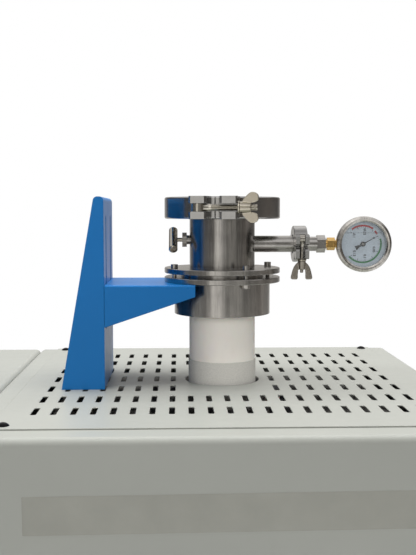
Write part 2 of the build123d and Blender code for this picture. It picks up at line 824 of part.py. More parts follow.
def clamp_halves(radius, width, lip, groove, lip_gap, slope, near, near_root, far, reach, slot,
                 rod_radius, rod_offset, pin_distance, pin_radius):
    """The two halves: ears on the bolt side, interleaved knuckles at the hinge."""
    whole = clamp_ring(radius, width, lip, groove, lip_gap, slope)
    half = width / 2
    knuckle = pin_radius * 2.2
    hinge_y = radius + knuckle + knuckle_gap
    third = width / 6
    pin_hole = rod(pin_radius + running_gap, -width, width)
    halves = []
    for side in (-1, 1):
        x0, x1 = sorted((side * half_gap / 2, side * radius * 2))
        body = whole & block(x0, x1, -2 * radius, 2 * radius, -width, width)
        body += clamp_lug(side, near, near_root, far, reach, radius, width)
        x0, x1 = sorted((side * half_gap / 2, side * knuckle * 1.8))
        web_y = sqrt(radius ** 2 - (knuckle * 1.8) ** 2) - 1
        spans = [(-half, -third - knuckle_gap / 2), (third + knuckle_gap / 2, half)]
        if side > 0:
            spans = [(-third + knuckle_gap / 2, third - knuckle_gap / 2)]
        for z0, z1 in spans:
            body += block(x0, x1, web_y, hinge_y, z0, z1)
            body += Pos(0, hinge_y, 0) * rod(knuckle, z0, z1)
        body -= Pos(0, hinge_y, 0) * pin_hole
        lower = -rod_offset + rod_radius * 2 + slot_margin
        x0, x1 = sorted((side * near / 2, side * (far + 2)))
        body -= block(x0, x1, -reach - 1, lower, -slot / 2, slot / 2)
        halves.append(body)
    swing = Pos(-pin_distance, -rod_offset, 0)
    end_radius = pin_distance + far
    beyond = ring(end_radius * 2, end_radius, -width, width)
    nut_side = block(far * 0.5, end_radius * 2, -reach - 1, -rod_offset + far * 0.6, -width, width)
    halves[0] -= swing * pin_hole
    halves[1] -= (swing * beyond) & nut_side
    pins = [swing * rod(pin_radius, -half, half), Pos(0, hinge_y, 0) * rod(pin_radius, -half, half)]
    return halves[0], halves[1], pins


def swing_bolt(slot, rod_radius, rod_length, pin_radius):
    """Eye and rod, drawn about the pin, the rod along +X."""
    eye_half = slot / 2 - knuckle_gap
    eye = rod(rod_radius * 2, -eye_half, eye_half)
    shank = Rot(0, 90, 0) * rod(rod_radius, rod_radius, rod_length)
    bolt = eye + shank - rod(pin_radius + running_gap, -slot, slot)
    tip = bolt.edges().filter_by(GeomType.CIRCLE).sort_by(Axis.X)[-1]
    return chamfer(tip, rod_radius / 4)


def wing_nut(rod_radius, nut_radius, length, span, reach, thickness, wing_shape):
    """Boss and two cast wings swept away from the clamp, local Z away from it."""
    boss = turned((0, 0), (nut_radius, 0), (nut_radius * nut_taper, length), (0, length))
    points = [(across * span / 2, along * reach) for across, along in wing_shape]
    first, last = points[0], points[-1]
    root = rod_radius + running_gap / 2
    outline = Spline(*points) + Polyline(last, (root, last[1]), (root, first[1]), first)
    wing = extrude(Plane.XZ * make_face(outline), thickness / 2, both=True)
    nut = boss + wing + Rot(0, 0, 180) * wing
    return nut - rod(rod_radius + running_gap, -1, reach + 1)


def clamp_hardware(slot, far, rod_radius, rod_offset, pin_distance, pin_radius, rod_length, nut_radius,
                   nut_length, span, reach, thickness, wing_shape):
    """Swing bolt, washer and wing nut in the clamp's own frame."""
    bolt = Pos(-pin_distance, -rod_offset, 0) * swing_bolt(slot, rod_radius, rod_length, pin_radius)
    washer_start = far + washer_gap
    outward = Pos(washer_start, -rod_offset, 0) * Rot(0, 90, 0)
    washer = outward * ring(nut_radius + washer_margin, rod_radius + running_gap, 0, washer_thickness)
    nut = wing_nut(rod_radius, nut_radius, nut_length, span, reach, thickness, wing_shape)
    nut = outward * Pos(0, 0, washer_thickness + nut_gap) * nut
    return bolt, washer, nut


def cap_clamp():
    """The large clamp on the cap of the head."""
    halves = clamp_halves(
        cap_clamp_radius, cap_clamp_width, cap_clamp_lip, cap_clamp_groove, cap_clamp_lip_gap,
        ferrule_slope, cap_clamp_lug_near, cap_clamp_lug_root, cap_clamp_lug_far, cap_clamp_lug_reach,
        cap_clamp_slot,
        cap_clamp_rod_radius, cap_clamp_rod_offset, cap_clamp_pin_distance, cap_clamp_pin_radius)
    hardware = clamp_hardware(
        cap_clamp_slot, cap_clamp_lug_far, cap_clamp_rod_radius, cap_clamp_rod_offset,
        cap_clamp_pin_distance, cap_clamp_pin_radius, cap_clamp_rod_length, cap_clamp_nut_radius,
        cap_clamp_nut_length, cap_clamp_wing_span, cap_clamp_wing_reach, cap_clamp_wing_thickness,
        cap_clamp_wing_shape)
    return place_all(at_tube * Pos(0, 0, cap_clamp_height) * Rot(0, 0, cap_clamp_turn), halves + hardware)


def port_clamp():
    """The small clamp on the side port, its bolt hanging in front."""
    halves = clamp_halves(
        port_clamp_radius, port_clamp_width, port_clamp_lip, port_clamp_groove, port_clamp_lip_gap,
        port_slope, port_clamp_lug_near, port_clamp_lug_root, port_clamp_lug_far, port_clamp_lug_reach,
        port_clamp_slot,
        port_clamp_rod_radius, port_clamp_rod_offset, port_clamp_pin_distance, port_clamp_pin_radius)
    hardware = clamp_hardware(
        port_clamp_slot, port_clamp_lug_far, port_clamp_rod_radius, port_clamp_rod_offset,
        port_clamp_pin_distance, port_clamp_pin_radius, port_clamp_rod_length, port_clamp_nut_radius,
        port_clamp_nut_length, port_clamp_wing_span, port_clamp_wing_reach, port_clamp_wing_thickness,
        port_clamp_wing_shape)
    frame = along_x(port_joint, port_height) * Rot(0, 0, port_clamp_turn)
    return place_all(frame, halves + hardware)


def place_all(place, pieces):
    """Move single pieces and lists of pieces together."""
    return [[place * one for one in piece] if isinstance(piece, list) else place * piece
            for piece in pieces]


# Gauge, valve

def gauge_adapter():
    """Clamping rim, stub and nut between the side port and the gauge."""
    length = adapter_nut_start - port_joint
    body = port_flange(-1)
    start = port_ring_thickness / 2 + port_rim
    body += rod(adapter_stub_radius, start, length)
    body += hexagon(adapter_nut_flats, length, length + adapter_nut_length)
    body -= rod(adapter_bore, 0, length + adapter_nut_length + 1)
    return along_x(port_joint, port_height) * body


def brass_connector():
    """Brass neck, hexagon and the block inside the gauge case."""
    start = adapter_nut_start + adapter_nut_length
    hex_start = start + brass_neck_length
    hex_end = hex_start + brass_hex_length
    block_end = gauge_centre - bourdon_circle + brass_block_reach
    body = rod(brass_neck_radius, start, hex_start)
    body += hexagon(brass_hex_flats, hex_start, hex_end)
    body += rod(brass_neck_radius, hex_end, block_end - brass_block_size)
    half = brass_block_size / 2
    body += block(-half, half, -half, half, block_end - brass_block_size, block_end)
    body -= rod(brass_bore, start - 1, block_end - half)
    return along_x(0, port_height) * body


def gauge_frame():
    """Local Z towards the reader from the middle of the gauge, local X to the right."""
    return at_tube * Location(Plane((gauge_centre, 0, port_height), x_dir=(1, 0, 0), z_dir=(0, -1, 0)))


def gauge_case():
    """The round case, open at the front, with its connector hole."""
    inner = gauge_case_radius - gauge_case_wall
    floor = -gauge_case_back + gauge_case_wall
    corner = -gauge_case_back + gauge_case_round
    body = turned((0, -gauge_case_back), (gauge_case_radius - gauge_case_round, -gauge_case_back),
                  (gauge_case_radius, corner), (gauge_case_radius, gauge_case_front),
                  (inner, gauge_case_front), (inner, corner),
                  (inner - gauge_case_round + gauge_case_wall, floor), (0, floor))
    hole = Rot(0, -90, 0) * rod(brass_neck_radius + fit_gap, 0, 2 * gauge_case_radius)
    return gauge_frame() * (body - hole)


def gauge_bezel():
    """The polished ring that holds the glass."""
    skirt = gauge_bezel_front - gauge_bezel_skirt
    inner = gauge_case_radius + running_gap
    face = gauge_case_front
    shoulder = gauge_bezel_front - bezel_shoulder
    rounded = bezel_shoulder * sqrt(0.5)
    body = turned((gauge_window_radius, gauge_bezel_front - bezel_lip),
                  (gauge_window_radius + bezel_lip, gauge_bezel_front - bezel_lip / 4),
                  (gauge_bezel_radius - bezel_shoulder, gauge_bezel_front),
                  (gauge_bezel_radius - bezel_shoulder + rounded, shoulder + rounded),
                  (gauge_bezel_radius, shoulder), (gauge_bezel_radius, skirt), (inner, skirt),
                  (inner, face), (gauge_window_radius, face))
    return gauge_frame() * body


def gauge_glass():
    """The window, inside the mouth of the case."""
    radius = gauge_case_radius - gauge_case_wall - running_gap
    return gauge_frame() * rod(radius, gauge_case_front - gauge_glass_thickness, gauge_case_front)


def gauge_dial():
    """The dial plate with the hole of the pointer spindle."""
    radius = gauge_case_radius - gauge_case_wall - running_gap
    return gauge_frame() * ring(radius, pointer_spindle_radius + fit_gap, gauge_dial_height,
                                gauge_dial_height + gauge_dial_thickness)


def gauge_pointer():
    """Needle, tail, hub and spindle, drawn straight up and turned to its reading."""
    half, flag = pointer_width / 2, pointer_tail_width / 2
    needle = make_face(Polyline((-half, -pointer_hub_radius), (-half, 0), (0, pointer_length), (half, 0),
                                (half, -pointer_hub_radius), (flag, -pointer_tail), (-flag, -pointer_tail),
                                close=True))
    body = Pos(0, 0, pointer_height) * extrude(needle, pointer_thickness)
    hub_bottom = pointer_height - (pointer_hub_height - pointer_thickness) / 2
    body += rod(pointer_hub_radius, hub_bottom, hub_bottom + pointer_hub_height)
    body += rod(pointer_spindle_radius, 0, hub_bottom + pointer_hub_height / 2)
    return gauge_frame() * Rot(0, 0, -pointer_reading) * body


def bourdon_tube():
    """The curved spring tube behind the dial, ending on the brass block."""
    section = Plane.XZ * Pos(bourdon_circle, 0) * Circle(bourdon_radius)
    arc = revolve(section, Axis.Z, bourdon_sweep)
    return gauge_frame() * Rot(0, 0, bourdon_start - bourdon_sweep) * arc


def valve_axis(distance):
    """Local Z points away from the head along the valve, from a distance off the tube axis."""
    return at_tube * Location(Plane((-distance, 0, valve_height), x_dir=(0, 0, 1), z_dir=(-1, 0, 0)))


def valve_nut():
    """Packing nut of the vent valve."""
    body = hexagon(valve_nut_flats, 0, valve_nut_length)
    body -= rod(valve_stem_radius + running_gap, -1, valve_nut_length + 1)
    return valve_axis(valve_neck_end) * body


def valve_spindle():
    """Stem and cross bar, turned together."""
    inside = head_radius - valve_neck_end + 1
    reach = valve_bar_distance - valve_neck_end
    stem = rod(valve_stem_radius - running_gap, inside, reach)
    bar = Rot(90, 0, 0) * Cylinder(valve_bar_radius, valve_bar_length)
    bar = chamfer(bar.edges().filter_by(GeomType.CIRCLE), valve_bar_chamfer)
    bar = Pos(0, 0, reach) * Rot(0, 0, 90 + valve_bar_tilt) * bar
    return valve_axis(valve_neck_end) * (stem + bar)


# Fan

def fan_place():
    """Local Z points into the cabinet from the back panel."""
    return Pos(tube_x, rear_y - sheet, fan_height) * Rot(90, 0, 0)


def fan_housing():
    """Square frame, four struts and the bearing boss with its shaft."""
    half = fan_size / 2
    frame_body = block(-half, half, -half, half, 0, fan_depth)
    frame_body = fillet(frame_body.edges().filter_by(Axis.Z), fan_corner)
    frame_body -= rod(fan_bore_radius, -1, fan_depth + 1)
    strut_floor = fan_depth - fan_strut_depth
    reach = fan_bore_radius + 2
    for angle in (45, 135):
        frame_body += Rot(0, 0, angle) * block(-reach, reach, -fan_strut_width / 2, fan_strut_width / 2,
                                               strut_floor, fan_depth)
    frame_body += rod(fan_hub_radius, strut_floor, fan_depth)
    frame_body += rod(fan_shaft_radius, strut_floor - fan_hub_length, strut_floor)
    return fan_place() * frame_body


def fan_impeller():
    """Hub and twisted blades on the fan's shaft."""
    top = fan_depth - fan_strut_depth - fan_running_gap
    bottom = top - fan_hub_length
    middle = (top + bottom) / 2
    hub = rod(fan_hub_radius, bottom, top)
    length = fan_blade_radius - fan_hub_radius + 2
    blade = Box(length, fan_blade_width, fan_blade_thickness)
    for step in range(fan_blades):
        hub += Rot(0, 0, step * 360 / fan_blades) * Pos(
            fan_hub_radius - 2 + length / 2, 0, middle) * Rot(fan_blade_pitch, 0, 0) * blade
    return fan_place() * (hub - rod(fan_shaft_radius + running_gap, bottom - 1, top + 1))


# Control section

def controller_place():
    """Local Z points out of the front panel at the middle of the controller."""
    return Location(Plane((control_x, front_y, controller_height), x_dir=(1, 0, 0), z_dir=(0, -1, 0)))


def key_spots():
    """Key centres on the face of the controller."""
    return [Pos((step - (key_count - 1) / 2) * key_pitch, key_offset, 0) for step in range(key_count)]


def controller_case():
    """Bezel and body, with the display recess and the key pockets."""
    bezel = extrude(RectangleRounded(controller_size, controller_size, controller_bezel_round),
                    controller_bezel_depth)
    top_edges = bezel.faces().sort_by(Axis.Z)[-1].edges()
    bezel = chamfer(top_edges, 1.2)
    body = block(-controller_body_size / 2, controller_body_size / 2, -controller_body_size / 2,
                 controller_body_size / 2, -controller_body_depth, 0)
    body += bezel
    body -= Pos(0, display_offset, controller_bezel_depth) * Box(display_width, display_height,
                                                                 2 * display_recess)
    floor = controller_bezel_depth + key_proud - key_depth - key_travel - key_gap
    pocket = extrude(Rectangle(key_width + 2 * key_gap, key_height + 2 * key_gap),
                     controller_bezel_depth - floor + 1)
    for spot in key_spots():
        body -= spot * Pos(0, 0, floor) * pocket
    return controller_place() * body


def controller_keys():
    """Four push keys, each a piece of its own."""
    cap = extrude(RectangleRounded(key_width, key_height, 1.5), key_depth)
    cap = chamfer(cap.faces().sort_by(Axis.Z)[-1].edges(), 0.6)
    start = controller_bezel_depth + key_proud - key_depth
    return [controller_place() * spot * Pos(0, 0, start) * cap for spot in key_spots()]


def switch_place():
    """Local Z points out of the front panel at the middle of the power switch."""
    return Location(Plane((control_x, front_y, switch_centre_height), x_dir=(1, 0, 0), z_dir=(0, -1, 0)))


def switch_frame():
    """Snap-in housing of the rocker."""
    flange = extrude(RectangleRounded(switch_width, switch_height, switch_corner), switch_flange)
    inset = switch_flange
    half_w = switch_width / 2 - inset
    half_h = switch_height / 2 - inset
    body = flange + block(-half_w, half_w, -half_h, half_h, -switch_depth, 0)
    wide = half_w - switch_wall + rocker_gap
    body -= block(-wide, wide, -rocker_radius - rocker_gap, rocker_radius + rocker_gap,
                  -rocker_pivot_depth - rocker_radius - 1, switch_flange + 1)
    return switch_place() * body


def power_rocker():
    """Rocker with two finger faces and round ends about its pivot."""
    half_w = switch_width / 2 - switch_flange - switch_wall
    top = rocker_proud + rocker_pivot_depth
    end = sqrt(rocker_radius ** 2 - top ** 2)
    side = sqrt(rocker_radius ** 2 - (top * 0.5) ** 2)
    outline = ThreePointArc((end, top), (rocker_radius, 0), (side, -top * 0.5))
    outline += Line((side, -top * 0.5), (-side, -top * 0.5))
    outline += ThreePointArc((-side, -top * 0.5), (-rocker_radius, 0), (-end, top))
    outline += Polyline((-end, top), (0, top - rocker_dip), (end, top))
    body = extrude(Plane.YZ * make_face(outline), half_w, both=True)
    return switch_place() * Pos(0, 0, -rocker_pivot_depth) * Rot(rocker_tilt, 0, 0) * body


def transformer():
    """Laminated core with its coil round the middle limb."""
    core = Box(transformer_width, transformer_core, transformer_core)
    window = transformer_width / 2 - 1.5 * transformer_limb
    for side in (-1, 1):
        x = side * (transformer_limb / 2 + window / 2)
        core -= Pos(x, 0, 0) * Box(window, transformer_core + 2, transformer_core - 2 * transformer_limb)
    coil_half_x = transformer_limb / 2 + window - transformer_coil_gap
    coil_z = transformer_core - 2 * transformer_limb - 2 * transformer_coil_gap
    coil = Box(2 * coil_half_x, transformer_depth, coil_z)
    coil = fillet(coil.edges().filter_by(Axis.Z), transformer_coil_round)
    coil -= Box(transformer_limb + 2 * transformer_coil_gap, transformer_core + 2 * transformer_coil_gap,
                coil_z + 2)
    place = Pos(left_x + transformer_side_gap + transformer_width / 2,
                rear_y - front_border - transformer_depth, base_top + transformer_core / 2)
    return [place * core, place * coil]


def power_unit():
    """Thyristor power controller with a finned heat sink, on the wall of the chamber section."""
    wall_x = furnace_left
    floor = power_unit_floor
    half = power_unit_width / 2
    fin_root = wall_x - power_unit_fin_depth
    body = block(fin_root - power_unit_depth, fin_root, -half, half, floor, floor + power_unit_height)
    pitch = (power_unit_width - power_unit_fin_thickness) / (power_unit_fins - 1)
    for step in range(power_unit_fins):
        y = -half + step * pitch
        body += block(fin_root, wall_x, y, y + power_unit_fin_thickness, floor, floor + power_unit_height)
    return body


def cable_gland():
    """Empty mains gland in the back of the control section, with its lock nut inside."""
    place = Location(Plane((control_x, rear_y, gland_height), x_dir=(1, 0, 0), z_dir=(0, 1, 0)))
    body = hexagon(gland_hex, 0, gland_flange_length)
    dome_start = gland_flange_length
    body += turned((0, dome_start), (gland_dome_radius, dome_start),
                   (gland_dome_radius * 0.75, dome_start + gland_dome_length),
                   (0, dome_start + gland_dome_length))
    body += rod(gland_thread_radius, -gland_thread_length, 0)
    body -= rod(gland_bore_radius, -gland_thread_length - 1, dome_start + gland_dome_length + 1)
    lock = hexagon(gland_hex, -sheet - gland_locknut_length, -sheet)
    lock -= rod(gland_thread_radius, -gland_thread_length, 0)
    return [place * body, place * lock]


# The whole furnace

def solids_of(piece):
    """A flat list of the solids in a piece or in a list of pieces."""
    pieces = piece if isinstance(piece, list) else [piece]
    found = []
    for one in pieces:
        found.extend(one.solids())
    return found


def build_nodes():
    """Every node by its name."""
    front, rear, left, right, ledge = furnace_panels()
    control_front, control_rear, control_side, control_lid = control_panels()
    cap_left, cap_right, cap_pins, cap_bolt, cap_washer, cap_nut = cap_clamp()
    port_upper, port_lower, port_pins, port_bolt, port_washer, port_nut = port_clamp()
    nodes = {
        "base_plate": base_plate(),
        "rubber_feet": rubber_feet(),
        "furnace_front": front,
        "furnace_rear": rear,
        "furnace_left": left,
        "furnace_right": right,
        "cover_ledge": ledge,
        "top_cover": top_cover(),
        "cover_screws": cover_screws(),
        "control_front": control_front,
        "control_rear": control_rear,
        "control_side": control_side,
        "control_lid": control_lid,
        "insulation_body": insulation_body(),
        "insulation_lid": insulation_lid(),
        "heating_elements": heating_elements(),
        "thermocouple": thermocouple(),
        "post": post(),
        "arm": arm(),
        "arm_screws": arm_screws(),
        "work_tube": work_tube(),
        "tube_sleeve": tube_sleeve(),
        "lower_flange": lower_flange(),
        "vacuum_seals": vacuum_seals(),
        "upper_flange": upper_flange(),
        "flange_bolts": flange_bolts(),
        "end_cap": end_cap(),
        "cap_clamp_left": cap_left,
        "cap_clamp_right": cap_right,
        "clamp_pins": cap_pins + port_pins,
        "cap_clamp_bolt": cap_bolt,
        "cap_clamp_washer": cap_washer,
        "cap_clamp_wing_nut": cap_nut,
        "port_clamp_upper": port_upper,
        "port_clamp_lower": port_lower,
        "port_clamp_bolt": port_bolt,
        "port_clamp_washer": port_washer,
        "port_clamp_wing_nut": port_nut,
        "gauge_adapter": gauge_adapter(),
        "brass_connector": brass_connector(),
        "gauge_case": gauge_case(),
        "gauge_bezel": gauge_bezel(),
        "gauge_glass": gauge_glass(),
        "gauge_dial": gauge_dial(),
        "gauge_pointer": gauge_pointer(),
        "bourdon_tube": bourdon_tube(),
        "valve_nut": valve_nut(),
        "valve_spindle": valve_spindle(),
        "fan_housing": fan_housing(),
        "fan_impeller": fan_impeller(),
        "controller_case": controller_case(),
        "switch_frame": switch_frame(),
        "power_rocker": power_rocker(),
        "transformer": transformer(),
        "power_unit": power_unit(),
        "cable_gland": cable_gland(),
    }
    for number, key in enumerate(controller_keys(), 1):
        nodes[f"controller_key_{number}"] = key
    return nodes


os.makedirs("parts", exist_ok=True)
for name, piece in build_nodes().items():
    export_step(Compound(children=solids_of(piece)), f"parts/{name}.step")
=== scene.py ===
import json
import math

import bmesh
import bpy
from mathutils import Matrix, Vector


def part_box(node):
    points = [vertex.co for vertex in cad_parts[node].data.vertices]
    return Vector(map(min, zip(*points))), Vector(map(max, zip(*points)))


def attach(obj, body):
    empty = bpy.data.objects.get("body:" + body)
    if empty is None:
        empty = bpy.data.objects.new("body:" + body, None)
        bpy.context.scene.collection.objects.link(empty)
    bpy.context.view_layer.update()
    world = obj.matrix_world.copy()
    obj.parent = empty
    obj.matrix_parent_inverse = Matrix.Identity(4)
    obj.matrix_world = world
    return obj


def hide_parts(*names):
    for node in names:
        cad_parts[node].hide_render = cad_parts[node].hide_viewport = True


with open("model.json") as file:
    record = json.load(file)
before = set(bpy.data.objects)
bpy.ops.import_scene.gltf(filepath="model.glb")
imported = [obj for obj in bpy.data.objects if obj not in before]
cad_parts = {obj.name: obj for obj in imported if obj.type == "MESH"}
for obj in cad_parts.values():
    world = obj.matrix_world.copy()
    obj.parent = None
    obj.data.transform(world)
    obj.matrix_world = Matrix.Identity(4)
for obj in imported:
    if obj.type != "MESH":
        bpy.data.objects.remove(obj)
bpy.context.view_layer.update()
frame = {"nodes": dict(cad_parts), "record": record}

# The looks of a bench-top tube furnace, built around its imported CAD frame.  Metres, +Z up,
# -Y towards the operator.  Places on the object come from the frame's nodes; the slot pattern,
# the tube hole and the rods' radii repeat the CAD's sizes.
nodes = frame["nodes"]
MM = 0.001


# ---------------------------------------------------------------- places in the frame

def middle(node):
    """Middle of a node's box."""
    low, high = (Vector(corner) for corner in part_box(node))
    return (low + high) / 2


tube_axis = middle("work_tube")
tube_x, tube_y = tube_axis.x, tube_axis.y
cover_low, cover_high = (Vector(corner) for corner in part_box("top_cover"))
cover_top = cover_high.z
gauge_low, gauge_high = (Vector(corner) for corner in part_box("gauge_bezel"))
gauge_centre = (gauge_low + gauge_high) / 2
dial_face_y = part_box("gauge_dial")[0][1]
front_y = Vector(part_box("furnace_front")[0]).y


# ---------------------------------------------------------------- material kit

def new_material(name):
    """An empty node material and its principled shader."""
    made = bpy.data.materials.new(name)
    made.use_nodes = True
    return made, made.node_tree, made.node_tree.nodes["Principled BSDF"]


def add(tree, kind, **inputs):
    """A node with some of its inputs set or linked."""
    node = tree.nodes.new(kind)
    for key, value in inputs.items():
        socket = node.inputs[int(key[1:])] if key[0] == "i" and key[1:].isdigit() else node.inputs[key]
        if isinstance(value, bpy.types.NodeSocket):
            tree.links.new(value, socket)
        else:
            socket.default_value = value
    return node


def coordinates(tree):
    """Object coordinates in metres: they stay on a piece when it moves."""
    return add(tree, "ShaderNodeTexCoord").outputs["Object"]


def scaled(tree, vector, scale, location=(0, 0, 0)):
    """Coordinates multiplied by a scale for each axis."""
    return add(tree, "ShaderNodeMapping", Vector=vector, Scale=scale, Location=location).outputs[0]


def noise(tree, vector, scale, detail=3.0, rough=0.55):
    """Noise value, 0 to 1."""
    node = add(tree, "ShaderNodeTexNoise", Vector=vector, Scale=scale, Detail=detail, Roughness=rough)
    return node.outputs["Fac"]


def math_node(tree, operation, first, second=0.0, third=0.0):
    """One math operation."""
    node = add(tree, "ShaderNodeMath", i0=first, i1=second, i2=third)
    node.operation = operation
    return node.outputs[0]


def ramp(tree, value, stops):
    """A colour ramp: stops of (place, colour)."""
    node = add(tree, "ShaderNodeValToRGB", Fac=value)
    elements = node.color_ramp.elements
    while len(elements) < len(stops):
        elements.new(0.5)
    for element, (place, colour) in zip(elements, stops):
        element.position = place
        element.color = (*colour, 1.0)
    return node.outputs[0]


def spread(tree, value, low, high):
    """Map 0..1 noise onto a range."""
    node = add(tree, "ShaderNodeMapRange", Value=value)
    node.inputs["From Min"].default_value = 0.25
    node.inputs["From Max"].default_value = 0.75
    node.inputs["To Min"].default_value = low
    node.inputs["To Max"].default_value = high
    return node.outputs[0]


def paint(tree, shader, value, stops):
    """Colour a shader by a ramp over a value."""
    tree.links.new(ramp(tree, value, stops), shader.inputs["Base Color"])


def roughen(tree, shader, value, low, high):
    """Vary a shader's roughness between two limits."""
    tree.links.new(spread(tree, value, low, high), shader.inputs["Roughness"])


def bump(tree, shader, height, strength, distance):
    """Bump from a height, chained on the shader's normal."""
    node = add(tree, "ShaderNodeBump", Height=height, Strength=strength, Distance=distance)
    linked = shader.inputs["Normal"].links
    if linked:
        tree.links.new(linked[0].from_socket, node.inputs["Normal"])
    tree.links.new(node.outputs[0], shader.inputs["Normal"])


def soft_edges(tree, shader, radius):
    """Shade sharp edges as if they were rounded by a hair."""
    rounded = add(tree, "ShaderNodeBevel", Radius=radius)
    rounded.samples = 6
    tree.links.new(rounded.outputs[0], shader.inputs["Normal"])


def tone(colour, factor):
    """A colour made lighter or darker."""
    return tuple(min(1.0, channel * factor) for channel in colour)


def powder_coat(name, colour, gloss=0.36, peel=0.05, shine=0.4):
    """Powder-coated sheet: fine orange peel, slight shade variation."""
    made, tree, shader = new_material(name)
    soft_edges(tree, shader, 1.2 * MM)
    place = coordinates(tree)
    cloud = noise(tree, place, 9.0, 4.0)
    paint(tree, shader, cloud, [(0.3, tone(colour, 0.975)), (0.7, tone(colour, 1.02))])
    grain = noise(tree, place, 1500.0, 2.0)
    roughen(tree, shader, noise(tree, place, 60.0, 5.0), gloss * 0.9, gloss * 1.12)
    bump(tree, shader, grain, peel, 0.0004)
    shader.inputs["Specular IOR Level"].default_value = shine
    return made


def turned_metal(name, colour, centre, rough=0.22, axis="Z", lines=0.12, gain=1.0):
    """Turned or ground metal: fine rings about an axis, with soft stains."""
    made, tree, shader = new_material(name)
    soft_edges(tree, shader, 0.45 * MM)
    place = coordinates(tree)
    moved = add(tree, "ShaderNodeVectorMath", i0=place, i1=tuple(centre))
    moved.operation = "SUBTRACT"
    parts = add(tree, "ShaderNodeSeparateXYZ", Vector=moved.outputs[0])
    names = {"X": ("Y", "Z", "X"), "Y": ("X", "Z", "Y"), "Z": ("X", "Y", "Z")}[axis]
    first, second, along = (parts.outputs[letter] for letter in names)
    squares = math_node(tree, "ADD", math_node(tree, "MULTIPLY", first, first),
                        math_node(tree, "MULTIPLY", second, second))
    radius = math_node(tree, "SQRT", squares)
    turn = math_node(tree, "ARCTAN2", first, second)
    rings = add(tree, "ShaderNodeCombineXYZ", X=radius, Y=along, Z=math_node(tree, "MULTIPLY", turn, 0.002))
    marks = noise(tree, rings.outputs[0], 2600.0, 3.0, 0.7)
    broad = noise(tree, rings.outputs[0], 260.0, 2.0)
    stain = noise(tree, place, 45.0, 4.0)
    unrolled = add(tree, "ShaderNodeCombineXYZ", X=math_node(tree, "SINE", turn),
                   Y=math_node(tree, "COSINE", turn), Z=math_node(tree, "MULTIPLY", along, 0.8))
    streak = noise(tree, unrolled.outputs[0], 9.0, 4.0, 0.75)
    mixed = math_node(tree, "ADD", math_node(tree, "MULTIPLY", stain, 0.3),
                      math_node(tree, "MULTIPLY", streak, 0.7))
    paint(tree, shader, mixed, [(0.36, tone(colour, 0.68)), (0.5, colour), (0.64, tone(colour, 1.26))])
    both = math_node(tree, "ADD", marks, math_node(tree, "MULTIPLY", broad, 0.6))
    roughen(tree, shader, mixed, rough * 0.7, rough * 1.35)
    bump(tree, shader, both, lines, 0.00005 * gain)
    shader.inputs["Metallic"].default_value = 1.0
    return made


def plated_metal(name, colour, rough=0.16, wave=0.12, scale=260.0):
    """Bright plated or polished casting: soft waves and tiny pits."""
    made, tree, shader = new_material(name)
    soft_edges(tree, shader, 0.6 * MM)
    place = coordinates(tree)
    soft = noise(tree, place, scale, 2.0)
    paint(tree, shader, noise(tree, place, 120.0, 4.0), [(0.3, tone(colour, 0.9)), (0.7, colour)])
    roughen(tree, shader, noise(tree, place, 500.0, 3.0), rough * 0.75, rough * 1.3)
    bump(tree, shader, soft, wave, 0.0003)
    shader.inputs["Metallic"].default_value = 1.0
    return made


def alumina(name, colour):
    """Unglazed alumina: warm white with faint stains and a fine skin."""
    made, tree, shader = new_material(name)
    place = coordinates(tree)
    cloud = noise(tree, scaled(tree, place, (1, 1, 0.45)), 28.0, 5.0, 0.6)
    paint(tree, shader, cloud, [(0.28, tone(colour, 0.93)), (0.5, colour), (0.75, tone(colour, 1.04))])
    bump(tree, shader, noise(tree, place, 900.0, 3.0), 0.15, 0.0002)
    roughen(tree, shader, cloud, 0.42, 0.6)
    shader.inputs["Subsurface Weight"].default_value = 0.12
    shader.inputs["Subsurface Scale"].default_value = 0.004
    return made


def moulded(name, colour, rough=0.5, grain=0.25, scale=1400.0):
    """Moulded plastic or rubber with a fine grain."""
    made, tree, shader = new_material(name)
    place = coordinates(tree)
    shade = noise(tree, place, 40.0, 4.0)
    paint(tree, shader, shade, [(0.3, tone(colour, 0.88)), (0.7, tone(colour, 1.1))])
    roughen(tree, shader, noise(tree, place, 300.0, 3.0), rough * 0.9, rough * 1.1)
    bump(tree, shader, noise(tree, place, scale, 2.0), grain, 0.0002)
    return made


def fibre(name, colour):
    """Matted ceramic fibre."""
    made, tree, shader = new_material(name)
    place = coordinates(tree)
    strands = noise(tree, scaled(tree, place, (1, 0.25, 1)), 700.0, 5.0, 0.7)
    paint(tree, shader, strands, [(0.3, tone(colour, 0.82)), (0.7, colour)])
    bump(tree, shader, strands, 0.5, 0.0006)
    shader.inputs["Roughness"].default_value = 0.95
    return made


def clear_glass(name):
    """Thin clear window."""
    made, tree, shader = new_material(name)
    place = coordinates(tree)
    roughen(tree, shader, noise(tree, place, 200.0, 3.0), 0.02, 0.05)
    shader.inputs["Base Color"].default_value = (0.93, 0.97, 0.98, 1)
    shader.inputs["Alpha"].default_value = 0.05
    shader.inputs["IOR"].default_value = 1.45
    return made


def flat_print(name, colour, rough=0.5):
    """Printed ink or plate, with a slight unevenness."""
    made, tree, shader = new_material(name)
    place = coordinates(tree)
    shade = noise(tree, place, 350.0, 3.0)
    paint(tree, shader, shade, [(0.3, tone(colour, 0.93)), (0.7, tone(colour, 1.03))])
    shader.inputs["Roughness"].default_value = rough
    bump(tree, shader, noise(tree, place, 2500.0, 2.0), 0.05, 0.0001)
    return made


def film(name, colour, alpha):
    """Thin clear adhesive film, slightly tinted."""
    made, tree, shader = new_material(name)
    place = coordinates(tree)
    shade = noise(tree, place, 30.0, 4.0)
    paint(tree, shader, shade, [(0.3, tone(colour, 0.95)), (0.7, tone(colour, 1.04))])
    bump(tree, shader, noise(tree, scaled(tree, place, (1, 1, 2)), 35.0, 3.0), 0.12, 0.0004)
    shader.inputs["Roughness"].default_value = 0.3
    shader.inputs["Alpha"].default_value = alpha
    return made


